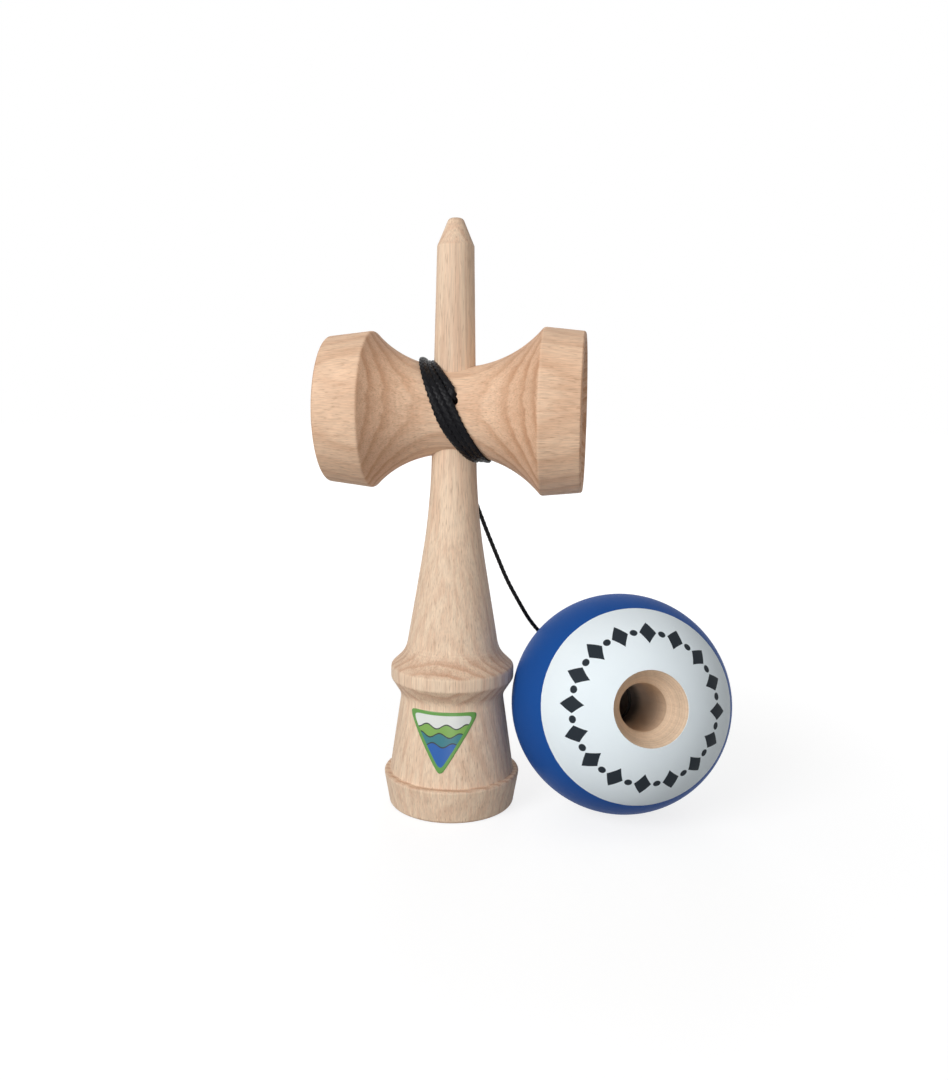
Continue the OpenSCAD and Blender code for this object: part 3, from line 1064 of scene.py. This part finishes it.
    def line(self, bore: Bore) -> tuple[CordLine, int]:
        """Joins the hole, the bend out of it, the turns and the free route into one even line.

        The string is bunched in its hole and round past its turns. Its cross-section fades over a short
        stretch between these and the turns' own.

        Args:
            bore: the tama's hole, which the string ends in.

        Returns:
            The line, and the number of its point where the free string starts.
        """
        turns = self.turns()
        kept = len(turns.path) - self.turned_over
        bend = self.bend(turns.path[0])[:-1]
        inside = evenly(np.stack([self.anchor(), bend[0]]), self.spacing)[:-1]
        keys = np.concatenate([turns.path[kept :: self.turned_over_step], self.route, bore.entry()])
        tail = smooth_through(keys, np.linspace(0, len(keys) - 1, self.curve_points * len(keys)))
        rough = np.concatenate([inside, bend, turns.path[:kept], tail])
        path = softened(evenly(rough, self.spacing), self.soften_points)
        start = len(inside) + len(bend)
        known = along(rough)[start : start + kept]
        turned = np.column_stack([turns.cross, turns.wide, turns.thick])[:kept]
        bunched = np.array([1.0, 0, 0, self.bunch_half_width, self.bunch_half_thickness])
        plain = np.array([1.0, 0, 0, self.diameter / 2, self.diameter / 2])
        at = np.concatenate([[known[0] - self.shape_fade], known, [known[-1] + self.shape_fade]])
        values = np.concatenate([[bunched], turned, [plain]])
        shape = np.stack([np.interp(along(path), at, column) for column in values.T], axis=1)
        split = int(np.argmin(np.linalg.norm(path - np.array(self.route[0]), axis=1)))
        return CordLine(path, shape[:, :3], shape[:, 3], shape[:, 4]), split

    def tube(self, name: str, line: CordLine, closed: bool = False, start: float = 0.0) -> bpy.types.Object:
        """Makes a braided tube along a line.

        Round each point the tube is an ellipse across the line. The braid lifts and sinks it by a cosine
        round the cord times a cosine along it, so that the picks alternate as in a plait.

        Args:
            name: the object's name.
            line: the cord's line.
            closed: whether the line closes on itself.
            start: the length of cord before the line, so that the braid runs on.

        Returns:
            The object.
        """
        if closed:
            forward = unit(np.roll(line.path, -1, 0) - np.roll(line.path, 1, 0))
        else:
            forward = unit(np.gradient(line.path, axis=0))
        cross = unit(line.cross - (line.cross * forward).sum(1, keepdims=True) * forward)
        normal = np.cross(cross, forward)
        place = start + along(line.path)
        angle = np.linspace(0, math.tau, self.sides, endpoint=False)
        waves = np.cos(self.braid_columns * angle) * np.cos(math.tau * place / self.braid_pitch)[:, None]
        swell = 1 + self.braid_depth / (self.diameter / 2) * waves
        wide = (line.wide[:, None] * np.cos(angle) * swell)[..., None] * cross[:, None]
        thick = (line.thick[:, None] * np.sin(angle) * swell)[..., None] * normal[:, None]
        rings = (line.path[:, None] + wide + thick) * MM
        u = np.broadcast_to(np.linspace(0, 1, self.sides + 1), (len(place), self.sides + 1))
        v = np.broadcast_to(place[:, None] / self.surface_length, u.shape)
        return ring_mesh(name, rings, np.stack([u, v], -1), closed)

    def knot(self, name: str, middle: Array, way: Array) -> bpy.types.Object:
        """Makes an overhand knot pulled tight, as a trefoil about a middle, with its hole along a way.

        Across the way a trefoil is the sum of two circles, the second twice as large and run through twice as
        fast, the other way round. Along the way it is a sine that runs three times as fast.

        Args:
            name: the object's name.
            middle: the knot's middle.
            way: the direction that the string comes from.

        Returns:
            The object.
        """
        t = np.linspace(0, math.tau, self.knot_points, endpoint=False)
        across = np.sin(t) + 2 * np.sin(2 * t)
        beside = np.cos(t) - 2 * np.cos(2 * t)
        loops = np.stack([across, beside, -self.knot_rise * np.sin(3 * t)], 1)
        aside = unit(np.cross(way, UP))
        axes = np.stack([aside, np.cross(way, aside), way])
        path = middle + self.knot_scale * loops @ axes
        half = np.full(len(t), self.diameter * self.knot_half_share)
        return self.tube(name, CordLine(path, np.broadcast_to(way, path.shape), half, half), closed=True)

    def build(self, bore: Bore) -> list[bpy.types.Object]:
        """Makes the wound string, the free string and both knots, and hides the CAD pieces that they replace.

        Args:
            bore: the tama's hole, which the string ends in.

        Returns:
            The four pieces.
        """
        line, split = self.line(bore)
        wound_line, free_line = line.part(0, split + 1), line.part(split, len(line.path))
        wound_reach, free_reach = along(wound_line.path)[-1], along(free_line.path)[-1]
        wound = self.tube("string_winding", wound_line)
        free = self.tube("string_free", free_line, start=wound_reach)
        way = self.hole_way()
        anchor_knot = self.knot("string_anchor_knot", self.anchor() - self.knot_behind * way, way)
        bead_knot = self.knot("string_bead_knot", bore.at(bore.knot_place()), -np.array(bore.axis))
        pieces = [wound, free, anchor_knot, bead_knot]
        nodes = (Node.WOUND_STRING, Node.FREE_STRING, Node.ANCHOR_KNOT, Node.BEAD_KNOT)
        material = self.finish.material()
        for piece, node in zip(pieces, nodes):
            piece.data.materials.append(material)
            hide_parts(node.value)
        for piece in (wound, anchor_knot):
            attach(piece, Body.KEN.value)
        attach(bead_knot, Body.LINE.value)
        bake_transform(free)
        Node.BEAD.piece()
        LOG.info("wound %.1f mm, free %.1f mm", wound_reach, free_reach)
        return pieces


@dataclass(frozen=True)
class Turning:
    """A turned wooden piece that keeps its CAD mesh.

    Its turn brings the grain to Z, and its origin is the pattern's, in metres.
    """

    node: Node
    finish: Beech
    turn: Euler
    origin: Vector

    def build(self) -> bpy.types.Object:
        """Puts the wood finish on the CAD node and gives the node's object."""
        return self.node.dress(self.finish.material(self.turn, self.origin))


@dataclass(frozen=True)
class PaintedBall:
    """The tama: a painted ball that keeps its CAD mesh."""

    bore: Bore
    finish: BallPaint = BallPaint()

    def turn(self) -> Euler:
        """Gives the turn that brings the hole's axis to Z."""
        return Vector(self.bore.axis).rotation_difference(Vector(UP)).to_euler()

    def build(self) -> bpy.types.Object:
        """Puts the painted finish on the CAD node and gives the node's object."""
        centre, radius = Vector(self.bore.centre) * MM, self.bore.radius * MM
        return Node.TAMA.dress(self.finish.material(self.turn(), centre, radius))


@dataclass(frozen=True)
class Sticker:
    """A paper sticker that follows the cone of the ken's body, in millimetres.

    The body's low and high ends are given by height and radius. Reaches and lifts are shares: of the way from
    the sticker's middle to its outline, and of its thickness.
    """

    body_low: tuple[float, float] = (9.6, 17.3)
    body_high: tuple[float, float] = (31.6, 14.1)
    middle_z: float = 24.2
    azimuth: float = -1.6
    half_width: float = 6.0
    half_height: float = 5.8
    thickness: float = 0.1
    sides: int = 144
    rings: int = 24
    inner_reach: float = 0.05
    edge_reach: float = 1.003
    edge_lifts: tuple[float, ...] = (0.9, 0.45, 0.1)
    outline: PickOutline = PickOutline()
    finish: PrintedPaper = PrintedPaper()

    def build(self) -> bpy.types.Object:
        """Makes the sticker: its outline in the body's unrolled cone, with two faces a thickness apart.

        A point of the sticker lies its height up the body's slope from the middle and its width round the
        ken. Its rings run out over the front face, round the edge and back in under it.

        Returns:
            The object, which rides on the ken.
        """
        outward = np.linspace(self.inner_reach, 1, self.rings)
        inward = np.linspace(1, self.inner_reach, self.rings)
        rim = np.concatenate([outward, [self.edge_reach], inward])
        front, back = np.ones(self.rings - 1), np.zeros(self.rings - 1)
        lift = np.concatenate([front, self.edge_lifts, back]) * self.thickness
        angle = np.linspace(0, math.tau, self.sides + 1)
        reach = self.outline.radius(angle)
        flat = rim[:, None, None] * np.stack([reach * np.cos(angle), reach * np.sin(angle)], -1)
        (low_z, low_r), (high_z, high_r) = self.body_low, self.body_high
        slope = (high_r - low_r) / (high_z - low_z)
        z = self.middle_z + flat[..., 1] * self.half_height / math.hypot(1, slope)
        r = low_r + slope * (z - low_z) + lift[:, None]
        turn = math.radians(self.azimuth) + flat[..., 0] * self.half_width / r
        points = np.stack([r * np.sin(turn), -r * np.cos(turn), z], -1) * MM
        piece = ring_mesh("body_sticker", points[::-1, :-1], flat[::-1])
        piece.data.materials.append(self.finish.material(self.outline))
        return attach(piece, Body.KEN.value)


@dataclass(frozen=True)
class PhotoCamera:
    """The camera at the photograph's place, in millimetres, degrees and pixels of the 948 by 1080 frame."""

    eye: Point = (43.06, -266.40, 114.80)
    yaw: float = 7.99
    pitch: float = 8.53
    roll: float = 0.64
    focal: float = 997.46
    long_side: float = 1080.0
    sensor: float = 36.0
    nearest: float = 10.0

    def build(self) -> bpy.types.Object:
        """Makes the camera and sets it as the scene's.

        Returns:
            The camera.
        """
        yaw, pitch, roll = (math.radians(angle) for angle in (self.yaw, self.pitch, self.roll))
        level = math.cos(pitch)
        forward = Vector((-math.sin(yaw) * level, math.cos(yaw) * level, -math.sin(pitch)))
        right = forward.cross(Vector(UP)).normalized()
        up = right.cross(forward)
        across = right * math.cos(roll) + up * math.sin(roll)
        above = up * math.cos(roll) - right * math.sin(roll)
        data = bpy.data.cameras.new("photo_camera")
        data.sensor_width = self.sensor
        data.lens = self.focal * self.sensor / self.long_side
        data.clip_start = self.nearest * MM
        camera = bpy.data.objects.new("photo_camera", data)
        bpy.context.scene.collection.objects.link(camera)
        turned = Matrix((across, above, -forward)).transposed().to_4x4()
        camera.matrix_world = Matrix.Translation(Vector(self.eye) * MM) @ turned
        bpy.context.scene.camera = camera
        return camera


@dataclass(frozen=True)
class SoftLamp:
    """A round area lamp: place and width in metres, power in watts, and whether reflections show it."""

    name: str
    place: Point
    width: float
    power: float
    reflected: bool = True

    def build(self, aim: Point) -> bpy.types.Object:
        """Makes the lamp.

        Args:
            aim: the point that it is turned to, in metres.

        Returns:
            The lamp.
        """
        data = bpy.data.lights.new(self.name, "AREA")
        data.shape = "DISK"
        data.size = self.width
        data.energy = self.power
        lamp = bpy.data.objects.new(self.name, data)
        bpy.context.scene.collection.objects.link(lamp)
        lamp.location = self.place
        lamp.visible_glossy = self.reflected
        lamp.rotation_euler = (Vector(aim) - Vector(self.place)).to_track_quat("-Z", "Y").to_euler()
        return lamp


@dataclass(frozen=True)
class Studio:
    """A plain pale floor, an even world, a large soft lamp at the front left, a low one and one behind.

    Lengths are in metres. The floor shows mostly white near the object, so that it keeps a light shadow, and
    fades to all white further out.
    """

    floor_radius: float = 3.0
    floor_inner: float = 0.01
    floor_depth: float = 0.02
    floor_sides: int = 96
    floor_colour: Colour = (0.95, 0.95, 0.95)
    floor_bounce: Colour = (0.3, 0.3, 0.3)
    floor_white: float = 0.68
    floor_fade: Span = (0.08, 0.35)
    floor_glow: float = 1.17
    ambient: float = 0.3
    aim: Point = (0.02, 0.0, 0.07)
    lamps: tuple[SoftLamp, ...] = (
        SoftLamp("front_left_lamp", (-0.46, -0.71, 0.49), 0.6, 5.35),
        SoftLamp("low_front_lamp", (0.1, -0.7, 0.1), 0.18, 0.9),
        SoftLamp("back_lamp", (-0.06, 0.8, 0.3), 0.5, 2.4, reflected=False),
    )

    def seen(self, graph: Graph) -> Socket:
        """Tells the rays that show the background: camera, glossy and transmission rays.

        Args:
            graph: the tree of the floor's material or of the world.

        Returns:
            1 for those rays and 0 for others.
        """
        rays = graph.add("ShaderNodeLightPath", {}).outputs
        shown = graph.math("MAXIMUM", rays["Is Camera Ray"], rays["Is Glossy Ray"])
        return graph.math("MAXIMUM", shown, rays["Is Transmission Ray"])

    def floor_material(self) -> bpy.types.Material:
        """Makes the floor's material: white where it is seen, but for a light shadow, and dull to other rays.

        Returns:
            The material.
        """
        graph = Graph(bpy.data.materials.new("pale_floor"))
        shown = self.seen(graph)
        colour = graph.mix(shown, self.floor_bounce, self.floor_colour)
        matte = graph.add("ShaderNodeBsdfDiffuse", {"Color": colour})
        white = graph.add("ShaderNodeEmission", {"Color": WHITE, "Strength": self.floor_glow})
        out = graph.vector("LENGTH", graph.coordinates(Coordinates.OBJECT))
        whiteness = graph.spread(graph.step(out, *self.floor_fade), self.floor_white, 1.0)
        share = graph.math("MULTIPLY", shown, whiteness)
        both = graph.add("ShaderNodeMixShader", {0: share, 1: matte.outputs[0], 2: white.outputs[0]})
        graph.add("ShaderNodeOutputMaterial", {"Surface": both.outputs[0]})
        return graph.owner

    def floor(self) -> bpy.types.Object:
        """Makes the floor: a round slab, as rings from its underside's middle out, up and back in on top.

        Returns:
            The floor.
        """
        angle = np.linspace(0, math.tau, self.floor_sides + 1)
        rim = np.array([self.floor_inner, self.floor_radius, self.floor_radius, self.floor_inner])
        drop = np.array([self.floor_depth, self.floor_depth, 0.0, 0.0])
        flat = rim[:, None, None] * np.stack([np.cos(angle), np.sin(angle), np.zeros_like(angle)], -1)
        points = flat - drop[:, None, None] * np.array(UP)
        piece = ring_mesh("floor", points[:, :-1], flat[..., :2])
        piece.data.materials.append(self.floor_material())
        return piece

    def world(self) -> None:
        """Makes the world: white where it is seen, and an even fill light elsewhere."""
        world = bpy.data.worlds.new("studio")
        bpy.context.scene.world = world
        graph = Graph(world)
        strength = graph.spread(self.seen(graph), self.ambient, 1.0)
        light = graph.add("ShaderNodeBackground", {"Color": WHITE, "Strength": strength})
        graph.add("ShaderNodeOutputWorld", {"Surface": light.outputs[0]})

    def build(self) -> None:
        """Makes the floor, the world and the lamps."""
        self.floor()
        self.world()
        for lamp in self.lamps:
            lamp.build(self.aim)
        bpy.context.scene.view_settings.view_transform = "Standard"


def main() -> None:
    logging.basicConfig(level=logging.INFO, format="%(name)s: %(message)s")
    upright, lying = Euler((0, 0, 0)), Euler((0, -math.pi / 2, 0))
    bore = Bore.from_frame()
    string = KendamaString()
    PhotoCamera().build()
    Studio().build()
    pieces = string.build(bore)
    pieces += [
        Turning(Node.KEN, KEN_BEECH, upright, Vector((0, 0, 0))).build(),
        Turning(Node.SARADO, SARADO_BEECH, lying, Vector((0, 0, string.waist.axis_z * MM))).build(),
        Turning(Node.BEAD, BEAD_BEECH, upright, Vector(bore.centre) * MM).build(),
        PaintedBall(bore).build(),
        Sticker().build(),
    ]
    for piece in pieces:
        LOG.info("%s: %d faces", piece.name, len(piece.data.polygons))


if __name__ == "__main__":
    main()
